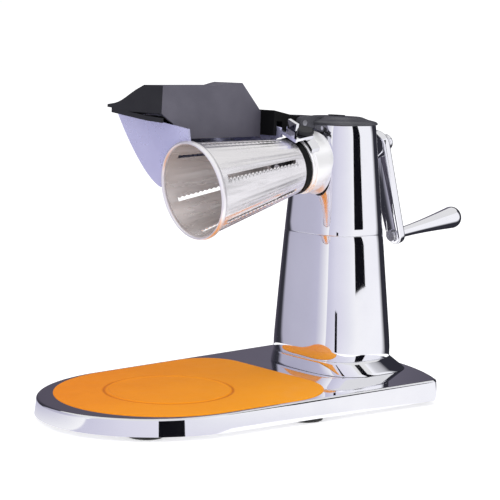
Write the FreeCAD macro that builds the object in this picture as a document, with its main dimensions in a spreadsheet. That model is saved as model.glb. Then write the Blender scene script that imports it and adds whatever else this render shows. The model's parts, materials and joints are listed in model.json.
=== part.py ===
import FreeCAD, Part
import Sketcher
import math
import os

os.makedirs("parts", exist_ok=True)
doc = FreeCAD.newDocument("RotaryGrater")
Vec = FreeCAD.Vector
Rot = FreeCAD.Rotation

# Driving dimensions in millimetres and degrees
DIMS = [
    ("base_nose", 107.5),        # half length of the round nose
    ("base_side", 215.7),        # length of the two long sides
    ("base_half_front", 93.7),   # half width where nose meets sides
    ("base_half_rear", 102.3),   # half width at the rear corners
    ("base_bow", 29.0),          # how far the rear end bows out
    ("base_corner", 8.0),        # rear corner radius
    ("base_flare", 2.3),         # lower edge stands out past the top edge
    ("base_x", -120.0),          # where nose meets sides, along X
    ("base_top_front", 18.7),    # height of the top face at base_x
    ("base_slope", 0.8),         # rise of the top face towards the column
    ("base_underside", 4.0),
    ("base_skin", 3.0),
    ("mat_inset", 4.8),
    ("mat_nose_inset", 16.8),
    ("mat_length", 128.5),       # straight length of the mat behind the nose
    ("mat_corner", 36.0),
    ("mat_near_corner", 54.0),   # rear corner on the drum's open side
    ("mat_recess", 1.6),
    ("mat_thick", 2.2),
    ("mat_ring", 56.0),          # radius of the moulded bowl ring
    ("mat_ring_width", 3.0),
    ("mat_ring_rise", 0.8),
    ("pad_radius", 15.0),
    ("column_x", 65.0),
    ("foot_low", 21.2),
    ("foot_high", 33.0),
    ("foot_shift", 8.0),         # foot flange stands further out at the rear
    ("split_height", 141.3),
    ("head_top", 236.0),
    ("column_scale", 1.0),
    ("wall", 3.0),
    ("web_low", 160.0),
    ("web_thick", 8.0),
    ("tilt", 9.6),               # shaft rises towards the crank
    ("drum_back_x", 7.5436),     # the drum's narrow end on the shaft axis
    ("drum_back_z", 199.344),
    ("drum_length", 104.0),
    ("mouth_radius", 39.8),
    ("narrow_radius", 24.2),
    ("drum_sheet", 1.0),
    ("bead_radius", 1.6),
    ("slot_count", 6),
    ("slot_length", 84.0),
    ("slot_width", 3.0),
    ("slot_turn", 11.0),
    ("hub_radius", 24.8),
    ("hub_thick", 6.8),
    ("hub_gap", 0.6),
    ("collar_radius", 26.0),
    ("collar_length", 26.0),
    ("tube_radius", 16.0),
    ("tube_bore", 9.0),
    ("tube_length", 83.0),
    ("bush_length", 14.0),
    ("shaft_radius", 6.0),
    ("running_gap", 0.04),
    ("seat_gap", 0.05),
    ("boss_radius", 19.0),
    ("crank_behind", 108.0),     # crank hub centre, measured from the drum's narrow end
    ("crank_drop", 87.0),
    ("crank_lean", 18.0),
    ("crank_thick", 8.0),
    ("grip_length", 77.0),
    ("grip_thin", 4.7),
    ("grip_fat", 10.2),
    ("grip_pin", 3.0),
    ("hood_near", 22.0),
    ("hood_far", 97.0),
    ("hood_wall", 2.5),
    ("pivot_x", 24.0),
    ("pivot_z", 237.0),
    ("pivot_pin", 2.5),
    ("arm_near", 4.0),
    ("arm_far", 30.0),
    ("hopper_sheet", 2.0),
    ("hopper_gap", 1.5),
    ("knob_radius", 8.0),
    ("bolt_radius", 3.0),
    ("bolt_inset_x", 13.4),      # column bolts in from the column's outside
    ("bolt_inset_y", 21.2),
    ("rod_radius", 4.0),
    ("screw_radius", 2.0),
    ("centre_shift", 3.1),       # puts the origin under the middle
]

sizes = doc.addObject("Spreadsheet::Sheet", "Sizes")
for row, (alias, number) in enumerate(DIMS, start=1):
    sizes.set("A%d" % row, alias)
    sizes.set("B%d" % row, str(number))
    sizes.setAlias("B%d" % row, alias)
doc.recompute()
size = {alias: float(sizes.get(alias)) for alias, number in DIMS}


def value(text):
    """Sum of sheet aliases and plain numbers, such as 'a + b - 2'."""
    total = 0.0
    for term in text.replace("-", "+-").split("+"):
        term = term.strip()
        if not term:
            continue
        sign = -1.0 if term.startswith("-") else 1.0
        name = term.lstrip("-").strip()
        total += sign * (size[name] if name in size else float(name))
    return total


def bound(text):
    """The same sum written as an expression on the sheet."""
    out = ""
    for term in text.replace("-", "+-").split("+"):
        term = term.strip()
        if not term:
            continue
        sign = " - " if term.startswith("-") else " + "
        name = term.lstrip("-").strip()
        out += sign + ("Sizes." + name if name in size else name)
    return out.strip(" +")


tilt = math.radians(size["tilt"])
AXIS = Vec(math.cos(tilt), 0, math.sin(tilt))
MOUTH = Vec(size["drum_back_x"], 0, size["drum_back_z"]) - AXIS * size["drum_length"]
AXIS_TURN = Rot(Vec(0, 1, 0), 90 - size["tilt"])


def on_axis(along):
    """Placement on the tilted shaft axis, local Z pointing to the crank."""
    return FreeCAD.Placement(MOUTH + AXIS * along, AXIS_TURN)


def plane_of(body, role):
    for feature in body.Origin.OriginFeatures:
        if feature.Role == role:
            return feature
    raise ValueError(role)


def new_body(name):
    body = doc.addObject("PartDesign::Body", name)
    body.Label = name
    return body


def flat_sketch(body, name, role="XY_Plane"):
    sketch = body.newObject("Sketcher::SketchObject", name)
    sketch.AttachmentSupport = (plane_of(body, role), "")
    sketch.MapMode = "FlatFace"
    return sketch


def lathe(name, profile, placement):
    """A turned piece: closed profile of (radius, along) pairs in sheet terms."""
    body = new_body(name)
    sketch = flat_sketch(body, name + "_profile", "XZ_Plane")
    points = [Vec(value(r), value(z), 0) for r, z in profile]
    count = len(points)
    for i in range(count):
        sketch.addGeometry(Part.LineSegment(points[i], points[(i + 1) % count]), False)
    for i in range(count):
        sketch.addConstraint(Sketcher.Constraint("Coincident", i, 2, (i + 1) % count, 1))
    for i, (r, z) in enumerate(profile):
        if abs(points[i].x) < 1e-9:
            sketch.addConstraint(Sketcher.Constraint("PointOnObject", i, 1, -2))
        else:
            at = sketch.addConstraint(Sketcher.Constraint("DistanceX", -1, 1, i, 1, points[i].x))
            sketch.setExpression("Constraints[%d]" % at, bound(r))
        if abs(points[i].y) < 1e-9:
            sketch.addConstraint(Sketcher.Constraint("PointOnObject", i, 1, -1))
        else:
            at = sketch.addConstraint(Sketcher.Constraint("DistanceY", -1, 1, i, 1, points[i].y))
            sketch.setExpression("Constraints[%d]" % at, bound(z))
    turn = body.newObject("PartDesign::Revolution", name + "_turn")
    turn.Profile = sketch
    turn.ReferenceAxis = (sketch, ["V_Axis"])
    turn.Angle = 360
    sketch.Visibility = False
    doc.recompute()
    body.Placement = placement
    return body


def cylinder(name, radius, height, placement):
    rod = doc.addObject("Part::Cylinder", name)
    rod.Radius = value(radius)
    rod.Height = value(height)
    rod.setExpression("Radius", bound(radius))
    rod.setExpression("Height", bound(height))
    rod.Placement = placement
    return rod


def fused(name, pieces):
    joined = doc.addObject("Part::MultiFuse", name)
    joined.Shapes = pieces
    return joined


def drilled(name, solid, tools):
    cutter = tools[0] if len(tools) == 1 else fused(name + "_tools", tools)
    cut = doc.addObject("Part::Cut", name)
    cut.Base = solid
    cut.Tool = cutter
    return cut


def shaped(name, shape, placement=None):
    piece = doc.addObject("Part::Feature", name)
    piece.Shape = shape
    if placement is not None:
        piece.Placement = placement
    return piece


def upright(x, y, z):
    return FreeCAD.Placement(Vec(x, y, z), Rot())


nodes = []


def node(name, piece):
    piece.Label = name
    nodes.append(piece)
    return piece


# Half length, half width and shift of the column at each height: (height, x, y, shift)
SECTIONS = [(21.2, 47.0, 61.0, 8.0), (25.0, 43.4, 55.6, 4.4), (33.0, 41.4, 51.2, 0.0),
            (54.0, 40.4, 49.9, -0.4), (76.0, 39.0, 48.1, -0.8), (108.0, 36.7, 45.3, -1.4),
            (141.3, 34.2, 42.2, -2.0), (164.0, 32.6, 40.2, -2.2), (200.0, 30.0, 37.0, -2.4),
            (236.0, 27.4, 33.8, -2.6)]


def section_at(z):
    """Half sizes and shift at a height, straight between the listed sections."""
    for low, high in zip(SECTIONS, SECTIONS[1:]):
        if low[0] <= z <= high[0]:
            f = (z - low[0]) / (high[0] - low[0])
            return [low[i] + f * (high[i] - low[i]) for i in (1, 2, 3)]
    return list(SECTIONS[-1][1:]) if z > SECTIONS[-1][0] else list(SECTIONS[0][1:])


# Base
def plan_edges(grow, side=None, corner=None, bow=None, nose_grow=None, low_corner=None):
    """Closed plan outline: round nose, two long sides, bowed or straight rear end."""
    along = size["base_side"] if side is None else side
    corner = size["base_corner"] if corner is None else corner
    bow = size["base_bow"] if bow is None else bow
    nose = size["base_nose"] + (grow if nose_grow is None else nose_grow)
    half = size["base_half_front"] + grow
    grade = (size["base_half_rear"] - size["base_half_front"]) / size["base_side"]
    rear = half + grade * along
    theta = math.atan2(half, nose * grade)
    join = Vec(-nose * math.cos(theta), half * math.sin(theta), 0)
    grade = (rear - join.y) / (along + grow - join.x)
    end = along + grow

    def rounded(corner):
        lift = join.y - grade * join.x - corner * math.sqrt(1 + grade ** 2)
        if bow > 0.5:
            big = (rear ** 2 + bow ** 2) / (2 * bow)
            centre = end + bow - big
            qa = 1 + grade ** 2
            qb = 2 * (lift * grade - centre)
            qc = centre ** 2 + lift ** 2 - (big - corner) ** 2
            middle = (-qb + math.sqrt(qb ** 2 - 4 * qa * qc)) / (2 * qa)
            out = Vec(middle - centre, lift + grade * middle, 0).normalize()
        else:
            middle = end - corner
            out = Vec(1, 0, 0)
        spot = Vec(middle, lift + grade * middle, 0)
        normal = Vec(-grade, 1, 0).normalize()
        return [spot + normal * corner, spot + (normal + out).normalize() * corner, spot + out * corner]

    a, mid, b = rounded(corner)
    flip = [Vec(p.x, -p.y, 0) for p in [join] + rounded(corner if low_corner is None else low_corner)]
    ellipse = Part.Ellipse(Vec(0, 0, 0), max(nose, half), min(nose, half))
    turned = nose < half
    if turned:
        ellipse.rotate(FreeCAD.Placement(Vec(0, 0, 0), Rot(Vec(0, 0, 1), 90)))
    start = ellipse.parameter(join)
    stop = ellipse.parameter(flip[0])
    nose_arc = Part.ArcOfEllipse(ellipse, start, stop)
    shapes = [nose_arc, Part.LineSegment(flip[0], flip[1]), Part.Arc(flip[1], flip[2], flip[3])]
    if bow > 0.5:
        shapes.append(Part.Arc(flip[3], Vec(end + bow, 0, 0), b))
    else:
        shapes.append(Part.LineSegment(flip[3], b))
    shapes += [Part.Arc(b, mid, a), Part.LineSegment(a, join)]
    return shapes


slope = size["base_slope"]
TOP = FreeCAD.Placement(Vec(size["base_x"], 0, size["base_top_front"]), Rot(Vec(0, 1, 0), -slope))


def plan_body(name, outline, length, taper="0"):
    body = new_body(name)
    sketch = flat_sketch(body, name + "_plan")
    for edge in outline:
        sketch.addGeometry(edge, False)
    pad = body.newObject("PartDesign::Pad", name + "_pad")
    pad.Profile = sketch
    pad.Length = value(length)
    pad.setExpression("Length", bound(length))
    pad.Reversed = True
    sketch.Visibility = False
    doc.recompute()
    body.Placement = TOP
    return body


def top_height(x):
    return size["base_top_front"] + (x - size["base_x"]) * math.tan(math.radians(slope))


def loft(wires, ruled=False):
    return Part.makeLoft(wires, True, ruled)


def plan_wire(grow, drop):
    edges = [g.toShape() for g in plan_edges(grow)]
    wire = Part.Wire(Part.__sortEdges__(edges))
    wire.translate(Vec(0, 0, -drop))
    return wire


lower = size["base_top_front"] + 8
round_edge = 2.2
shell_steps = [(-round_edge, 0.0), (-0.65, 0.65), (0.0, round_edge), (size["base_flare"] + 0.6, lower)]
outer_skin = loft([plan_wire(g, d) for g, d in shell_steps], True)
inner_skin = loft([plan_wire(-size["base_skin"], size["base_skin"]),
                   plan_wire(size["base_flare"] - size["base_skin"], lower + 1)], True)
skin = outer_skin.cut(inner_skin)
base_shell = shaped("base_shell", skin, TOP)

pad_places = [(size["base_x"] - 57, 55), (size["base_x"] + 84, 80), (size["base_x"] + 206, 58)]
pad_spots = [(x, y * s) for x, y in pad_places for s in (-1, 1)]
bosses = []
for i, (x, y) in enumerate(pad_spots):
    top = top_height(x) - size["base_skin"] + 1.0
    boss = doc.addObject("Part::Cylinder", "pad_boss_%d" % i)
    boss.Radius = 9
    boss.Height = top - size["base_underside"]
    boss.Placement = upright(x, y, size["base_underside"])
    bosses.append(boss)
solid_base = fused("base_solid", [base_shell] + bosses)

floor_cut = doc.addObject("Part::Box", "floor_cut")
floor_cut.Length = 500
floor_cut.Width = 300
floor_cut.Height = 60
floor_cut.setExpression("Placement.Base.z", "Sizes.base_underside - 60")
floor_cut.Placement.Base = Vec(-280, -150, size["base_underside"] - 60)

mat_plan = plan_edges(-size["mat_inset"] + 0.4, size["mat_length"], size["mat_corner"], 0.0,
                      -size["mat_nose_inset"] + 0.4, size["mat_near_corner"])
recess = plan_body("mat_recess_tool", mat_plan, "mat_recess")
column_x = size["column_x"]
foot_x = column_x + size["foot_shift"]
foot_half_x, foot_half_y, foot_middle = section_at(size["foot_high"])
bolt_x = foot_half_x * size["column_scale"] - size["bolt_inset_x"]
bolt_y = foot_half_y * size["column_scale"] - size["bolt_inset_y"]
bolt_spots = [(column_x + x, y) for x in (-bolt_x, bolt_x) for y in (-bolt_y, bolt_y)]
bolt_holes = [cylinder("bolt_hole_%d" % i, "bolt_radius + 0.2", "foot_high", upright(x, y, 5))
              for i, (x, y) in enumerate(bolt_spots)]
rod_hole = cylinder("rod_hole", "rod_radius + 0.3", "foot_high", upright(column_x, 0, 5))
screw_holes = [cylinder("pad_hole_%d" % i, "screw_radius + 0.02", "10", upright(x, y, 3.9))
               for i, (x, y) in enumerate(pad_spots)]
node("base_plate", drilled("base_plate", solid_base, [floor_cut, recess, rod_hole] + bolt_holes + screw_holes))

mat_outline = plan_edges(-size["mat_inset"], size["mat_length"], size["mat_corner"] - 0.4, 0.0,
                         -size["mat_nose_inset"], size["mat_near_corner"] - 0.4)
mat_sheet = plan_body("mat_sheet", mat_outline, "mat_thick")
mat_lift = size["mat_thick"] - size["mat_recess"] + 0.02
mat_sheet.Placement = FreeCAD.Placement(TOP.multVec(Vec(0, 0, mat_lift)), TOP.Rotation)
ring_place = FreeCAD.Placement(TOP.multVec(Vec(4.9, 0, mat_lift - 0.5)), TOP.Rotation)
ring = lathe("mat_ring_bead", [
    ("mat_ring - mat_ring_width", "0"),
    ("mat_ring", "0"),
    ("mat_ring", "0.5"),
    ("mat_ring - 1", "mat_ring_rise + 0.5"),
    ("mat_ring - mat_ring_width + 1", "mat_ring_rise + 0.5"),
    ("mat_ring - mat_ring_width", "0.5")], ring_place)
node("base_mat", fused("base_mat", [mat_sheet, ring]))

pads = []
pad_screws = []
for i, (x, y) in enumerate(pad_spots):
    pad = lathe("pad_%d" % i, [
        ("screw_radius + 0.1", "1.6"),
        ("4.2", "1.6"),
        ("4.2", "0"),
        ("pad_radius - 0.8", "0"),
        ("pad_radius", "0.8"),
        ("pad_radius - 1", "base_underside"),
        ("screw_radius + 0.1", "base_underside")], upright(x, y, 0))
    pads.append(pad)
    screw = lathe("pad_screw_%d" % i, [
        ("0", "0.6"),
        ("3.8", "0.6"),
        ("3.8", "1.6"),
        ("screw_radius", "1.6"),
        ("screw_radius", "12.6"),
        ("0", "12.6")], upright(x, y, 0))
    pad_screws.append(screw)
node("rubber_feet", shaped("rubber_feet", Part.makeCompound([p.Shape for p in pads])))
node("foot_screws", shaped("foot_screws", Part.makeCompound([s.Shape for s in pad_screws])))


# Column
POWER = 3.2


def squircle(z, a, b, shift=0.0, inset=0.0):
    """Closed spline wire of a rounded-rectangle section of the column."""
    points = []
    for i in range(40):
        t = 2 * math.pi * i / 40
        c, s = math.cos(t), math.sin(t)
        x = (a - inset) * math.copysign(abs(c) ** (2 / POWER), c)
        y = (b - inset) * math.copysign(abs(s) ** (2 / POWER), s)
        points.append(Vec(column_x + shift + x, y, z))
    curve = Part.BSplineCurve()
    curve.interpolate(points, PeriodicFlag=True)
    return Part.Wire(curve.toShape())


def column_solid(z0, z1, inset=0.0, extra=0.0):
    heights = [z0] + [s[0] for s in SECTIONS if z0 + 1.5 < s[0] < z1 - 1.5] + [z1]
    wires = []
    for z in heights:
        a, b, shift = section_at(z)
        grow = size["column_scale"]
        wires.append(squircle(z, a * grow, b * grow, shift, inset - extra))
    return loft(wires)


wall = size["wall"]
foot_low, foot_high = size["foot_low"], size["foot_high"]
split, head_top = size["split_height"], size["head_top"]

foot_body = column_solid(foot_low, foot_high)
under = doc.addObject("Part::Box", "foot_trim")
under.Length = 300
under.Width = 300
under.Height = 30
under.Placement = FreeCAD.Placement(TOP.multVec(Vec(40, -150, -29.98)), TOP.Rotation)
foot_solid = shaped("foot_solid", foot_body)
foot_well = cylinder("foot_well", "14", "foot_high", upright(column_x, 0, 5))
foot_holes = [cylinder("foot_hole_%d" % i, "bolt_radius + 0.2", "40", upright(x, y, 5))
              for i, (x, y) in enumerate(bolt_spots)]
node("column_foot", drilled("column_foot", foot_solid, [under, foot_well] + foot_holes))

lower_shell = column_solid(foot_high, split).cut(column_solid(foot_high - 0.5, split + 0.5, wall))
lower_core = column_solid(foot_high, foot_high + 26)
posts = [Part.makeCylinder(9, 26, Vec(x, y, foot_high)) for x, y in bolt_spots]
post_fill = posts[0].fuse(posts[1:]).common(lower_core)
threads = [cylinder("post_hole_%d" % i, "bolt_radius + 0.02", "22", upright(x, y, foot_high - 0.5))
           for i, (x, y) in enumerate(bolt_spots)]
lower_solid = shaped("lower_solid", lower_shell.fuse(post_fill).removeSplitter())
node("column_lower", drilled("column_lower", lower_solid, threads))

bolt_shapes = []
for i, (x, y) in enumerate(bolt_spots):
    seat = top_height(x) - size["base_skin"] - 0.35
    bolt = lathe("bolt_%d" % i, [
        ("0", "0"),
        ("bolt_radius + 2", "0"),
        ("bolt_radius + 2", "3.5"),
        ("bolt_radius", "3.5"),
        ("bolt_radius", "36"),
        ("0", "36")], upright(x, y, seat - 3.5))
    bolt_shapes.append(bolt.Shape)
node("column_bolts", shaped("column_bolts", Part.makeCompound(bolt_shapes)))

web_low, web_high = size["web_low"], size["web_low"] + size["web_thick"]
plate_low = head_top - 3.0
head_shape = column_solid(split, head_top)
head_shape = head_shape.cut(column_solid(split - 0.5, web_low, wall))
head_shape = head_shape.cut(column_solid(web_high, plate_low, wall))
head_solid = shaped("head_solid", head_shape)
collar_start = "drum_length + hub_thick + hub_gap"
collar_at = value(collar_start)
front_hole = cylinder("front_hole", "collar_radius + seat_gap", "40", on_axis(collar_at))
rear_hole = cylinder("rear_hole", "tube_radius + seat_gap", "60", on_axis(collar_at + 50))
rod_thread = cylinder("rod_thread", "rod_radius + 0.02", "12", upright(column_x, 0, web_low - 2))
cap_spots = [(column_x + 3, -18), (column_x + 3, 18)]
cap_holes = [cylinder("cap_hole_%d" % i, "screw_radius + 0.1", "6", upright(x, y, head_top - 5))
             for i, (x, y) in enumerate(cap_spots)]
node("column_head", drilled("column_head", head_solid, [front_hole, rear_hole, rod_thread] + cap_holes))

spigot_low, spigot_high = split - 10, split + 8
spigot = column_solid(spigot_low, spigot_high, wall + 0.5)
spigot = spigot.cut(column_solid(spigot_low - 0.5, spigot_high + 0.5, wall + 2.8))
node("joint_ring", shaped("joint_ring", spigot))

rod_seat = top_height(column_x) - size["base_skin"] - 0.3
node("tie_rod", lathe("tie_rod", [
    ("0", "0"),
    ("rod_radius", "0"),
    ("rod_radius", "web_low + web_thick - 12"),
    ("0", "web_low + web_thick - 12")], upright(column_x, 0, 10)))
washer = lathe("tie_washer_body", [
    ("rod_radius + 0.05", "0"),
    ("rod_radius + 6", "0"),
    ("rod_radius + 6", "1.5"),
    ("rod_radius + 0.05", "1.5")], upright(column_x, 0, rod_seat - 1.5))
node("tie_washer", washer)
nut_body = new_body("tie_nut_body")
nut_sketch = flat_sketch(nut_body, "tie_nut_plan")
for i in range(6):
    a0, a1 = math.radians(60 * i), math.radians(60 * i + 60)
    nut_sketch.addGeometry(Part.LineSegment(Vec(7.5 * math.cos(a0), 7.5 * math.sin(a0), 0),
                                            Vec(7.5 * math.cos(a1), 7.5 * math.sin(a1), 0)), False)
nut_sketch.addGeometry(Part.Circle(Vec(0, 0, 0), Vec(0, 0, 1), size["rod_radius"] + 0.02), False)
nut_pad = nut_body.newObject("PartDesign::Pad", "tie_nut_pad")
nut_pad.Profile = nut_sketch
nut_pad.Length = 3.8
doc.recompute()
nut_body.Placement = upright(column_x, 0, rod_seat - 5.35)
node("tie_nut", nut_body)


# Shaft line
node("shaft_collar", lathe("shaft_collar", [
    ("tube_radius + seat_gap", "0"),
    ("collar_radius - 2.2", "0"),
    ("collar_radius - 1.2", "0.4"),
    ("collar_radius - 1.2", "4"),
    ("collar_radius", "5"),
    ("collar_radius", "collar_length"),
    ("tube_radius + seat_gap", "collar_length")], on_axis(collar_at)))
tube_at = collar_at + 0.8
tube_end = tube_at + size["tube_length"]
node("spindle_tube", lathe("spindle_tube", [
    ("tube_bore", "0"),
    ("tube_radius", "0"),
    ("tube_radius", "tube_length"),
    ("tube_bore", "tube_length")], on_axis(tube_at)))
bush = [("shaft_radius + running_gap", "0"), ("tube_bore - 0.03", "0"),
        ("tube_bore - 0.03", "bush_length"), ("shaft_radius + running_gap", "bush_length")]
node("front_bush", lathe("front_bush", bush, on_axis(tube_at)))
node("rear_bush", lathe("rear_bush", bush, on_axis(tube_end - size["bush_length"])))

column_outside = column_solid(split, head_top, 0.0, 0.04)
boss_at = tube_end - 12
boss_long = value("drum_length + crank_behind") - 6.6 - boss_at
boss_ring = Part.makeCone(size["boss_radius"] + 3, size["boss_radius"] - 6, boss_long)
boss_ring = boss_ring.cut(Part.makeCylinder(size["tube_radius"] + size["seat_gap"], tube_end + 0.3 - boss_at))
boss_ring = boss_ring.cut(Part.makeCylinder(size["shaft_radius"] + 0.5, boss_long))
boss_ring.Placement = on_axis(boss_at)
boss_ring = boss_ring.cut(column_outside)
node("rear_boss", shaped("rear_boss", max(boss_ring.Solids, key=lambda s: s.Volume)))

crank_at = value("drum_length + crank_behind")
hub_half = 6.0
node("drive_shaft", lathe("drive_shaft", [
    ("0", "0"),
    ("shaft_radius - 1.5", "0"),
    ("shaft_radius - 1.5", "10.95"),
    ("shaft_radius", "10.95"),
    ("shaft_radius", "crank_behind + 6"),
    ("shaft_radius - 1.5", "crank_behind + 6"),
    ("shaft_radius - 1.5", "crank_behind + 24"),
    ("0", "crank_behind + 24")], on_axis(value("drum_length - 12"))))
node("thrust_washer", lathe("thrust_washer", [
    ("shaft_radius + 0.03", "0"),
    ("shaft_radius + 6", "0"),
    ("shaft_radius + 6", "0.7"),
    ("shaft_radius + 0.03", "0.7")], on_axis(tube_at - 0.75)))

# Drum
drum_len = size["drum_length"]
sheet = size["drum_sheet"]
bead = size["bead_radius"]
drum_body = lathe("drum_blank", [
    ("mouth_radius - drum_sheet", "0"),
    ("mouth_radius", "0"),
    ("narrow_radius", "drum_length"),
    ("shaft_radius + 0.1", "drum_length"),
    ("shaft_radius + 0.1", "drum_length - drum_sheet"),
    ("narrow_radius - drum_sheet", "drum_length - drum_sheet")], on_axis(0))
rim = doc.addObject("Part::Torus", "drum_bead")
rim.Radius1 = size["mouth_radius"] + 0.6
rim.Radius2 = bead
rim.setExpression("Radius1", "Sizes.mouth_radius + 0.6")
rim.setExpression("Radius2", "Sizes.bead_radius")
rim.Placement = on_axis(0)
drum_solid = fused("drum_solid", [drum_body, rim])
slots = []
half_angle = math.degrees(math.atan2(size["mouth_radius"] - size["narrow_radius"], drum_len))
for i in range(int(size["slot_count"])):
    slot = doc.addObject("Part::Box", "drum_slot_%d" % i)
    slot.Length = 12
    slot.Width = size["slot_width"]
    slot.Height = size["slot_length"]
    slot.setExpression("Width", "Sizes.slot_width")
    slot.setExpression("Height", "Sizes.slot_length")
    lean = Rot(Vec(0, 1, 0), -half_angle)
    middle = (size["mouth_radius"] + size["narrow_radius"]) / 2 - 6
    local = FreeCAD.Placement(Vec(middle, 0, drum_len / 2), lean)
    local = local.multiply(FreeCAD.Placement(Vec(0, -size["slot_width"] / 2, -size["slot_length"] / 2), Rot()))
    spin = FreeCAD.Placement(Vec(0, 0, 0), Rot(Vec(0, 0, 1), size["slot_turn"] + 360.0 * i / size["slot_count"]))
    slot.Placement = on_axis(0).multiply(spin).multiply(local)
    slots.append(slot)
rivet_spots = [(17.0 * math.cos(math.radians(a)), 17.0 * math.sin(math.radians(a))) for a in (30, 150, 270)]
rivet_holes = []
for i, (u, v) in enumerate(rivet_spots):
    spot = on_axis(drum_len - 3).multiply(upright(u, v, 0))
    rivet_holes.append(cylinder("rivet_hole_%d" % i, "1.55", "12", spot))
node("drum_cone", drilled("drum_cone", drum_solid, slots + rivet_holes))

hub_blank = lathe("hub_blank", [
    ("shaft_radius + 0.02", "0"),
    ("hub_radius - 1", "0"),
    ("hub_radius", "1"),
    ("hub_radius", "hub_thick - 1"),
    ("hub_radius - 1", "hub_thick"),
    ("shaft_radius + 0.02", "hub_thick")], on_axis(drum_len))
hub_holes = []
for i, (u, v) in enumerate(rivet_spots):
    spot = on_axis(drum_len - 1).multiply(upright(u, v, 0))
    hub_holes.append(cylinder("hub_hole_%d" % i, "1.55", "5.5", spot))
node("drum_hub", drilled("drum_hub", hub_blank, hub_holes))
rivet_shapes = []
for i, (u, v) in enumerate(rivet_spots):
    spot = on_axis(drum_len - sheet - 1.2).multiply(upright(u, v, 0))
    rivet = lathe("rivet_%d" % i, [
        ("0", "0"),
        ("2.2", "0"),
        ("2.8", "0.5"),
        ("2.8", "1.2"),
        ("1.5", "1.2"),
        ("1.5", "6.2"),
        ("0", "6.2")], spot)
    rivet_shapes.append(rivet.Shape)
node("drum_rivets", shaped("drum_rivets", Part.makeCompound(rivet_shapes)))
node("drum_knob", lathe("drum_knob", [
    ("shaft_radius - 1.48", "0"),
    ("9", "0"),
    ("11", "2"),
    ("11", "8.5"),
    ("9.5", "10.5"),
    ("shaft_radius - 1.48", "10.5")], on_axis(drum_len - sheet - 10.6)))

# Crank
hub_centre = MOUTH + AXIS * crank_at
lean = math.radians(size["crank_lean"])
arm_dir = Vec(math.sin(lean), 0, -math.cos(lean))
arm_normal = Vec(math.cos(lean), 0, math.sin(lean))
grip_centre = hub_centre + arm_dir * size["crank_drop"]
thick = size["crank_thick"]
arm_frame = FreeCAD.Placement(hub_centre, Rot(arm_dir, Vec(0, 1, 0), arm_normal, "XZY"))


def arm_outline(r0, r1, span):
    """Flat link: two round ends joined by tangent lines."""
    a = math.acos((r0 - r1) / span)
    p0 = Vec(r0 * math.cos(a), r0 * math.sin(a), 0)
    p1 = Vec(span + r1 * math.cos(a), r1 * math.sin(a), 0)
    q0, q1 = Vec(p0.x, -p0.y, 0), Vec(p1.x, -p1.y, 0)
    edges = [Part.Arc(p0, Vec(-r0, 0, 0), q0), Part.LineSegment(q0, q1),
             Part.Arc(q1, Vec(span + r1, 0, 0), p1), Part.LineSegment(p1, p0)]
    return Part.Face(Part.Wire([e.toShape() for e in edges]))


link = arm_outline(12.5, 9.0, size["crank_drop"]).extrude(Vec(0, 0, thick))
link.translate(Vec(0, 0, -thick / 2))
edges = [e for e in link.Edges if abs(e.BoundBox.ZMax - e.BoundBox.ZMin) < 1e-6]
link = link.makeFillet(2.0, edges)
link_solid = shaped("crank_link", link, arm_frame)
hub_boss = cylinder("crank_hub", "9.5", "12", on_axis(crank_at - hub_half))
tip_boss = cylinder("crank_tip", "6.2", "9", FreeCAD.Placement(grip_centre - AXIS * 4.5, AXIS_TURN))
hub_bore = cylinder("crank_bore", "shaft_radius + 0.02", "40", on_axis(crank_at - 20))
tip_bore = cylinder("tip_bore", "grip_pin + 0.02", "40", FreeCAD.Placement(grip_centre - AXIS * 20, AXIS_TURN))
crank_solid = fused("crank_solid", [link_solid, hub_boss, tip_boss])
node("crank_arm", drilled("crank_arm", crank_solid, [hub_bore, tip_bore]))
node("crank_nut", lathe("crank_nut", [
    ("shaft_radius - 1.48", "0"),
    ("8.6", "0"),
    ("8.6", "1.5"),
    ("7.2", "2"),
    ("7", "6"),
    ("5.5", "7.6"),
    ("shaft_radius - 1.48", "7.6")], on_axis(crank_at + hub_half + 0.02)))

grip_frame = FreeCAD.Placement(grip_centre + AXIS * 5.2, AXIS_TURN)
node("grip_spindle", lathe("grip_spindle", [
    ("0", "0"),
    ("5", "0"),
    ("5", "2.5"),
    ("grip_pin", "2.5"),
    ("grip_pin", "grip_length"),
    ("0", "grip_length")], FreeCAD.Placement(grip_centre - AXIS * 7.4, AXIS_TURN)))
grip_profile = [("grip_pin + running_gap", "0"), ("grip_thin", "0"), ("grip_thin + 0.2", "1"),
                ("grip_thin + 1.3", "20"), ("grip_thin + 2.8", "38"), ("grip_fat - 0.8", "grip_length - 16"),
                ("grip_fat", "grip_length - 9"), ("grip_fat - 0.5", "grip_length - 5"),
                ("grip_fat - 2.4", "grip_length - 1.8"), ("grip_fat - 4.8", "grip_length - 0.4"),
                ("0", "grip_length"), ("0", "grip_length - 9"),
                ("grip_pin + running_gap", "grip_length - 9")]
node("crank_grip", lathe("crank_grip", grip_profile, grip_frame))

# Top cap
cap_a, cap_b, cap_shift = section_at(head_top)


def cap_layer(z, grow):
    return squircle(z, cap_a + grow, cap_b + grow, cap_shift)


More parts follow.
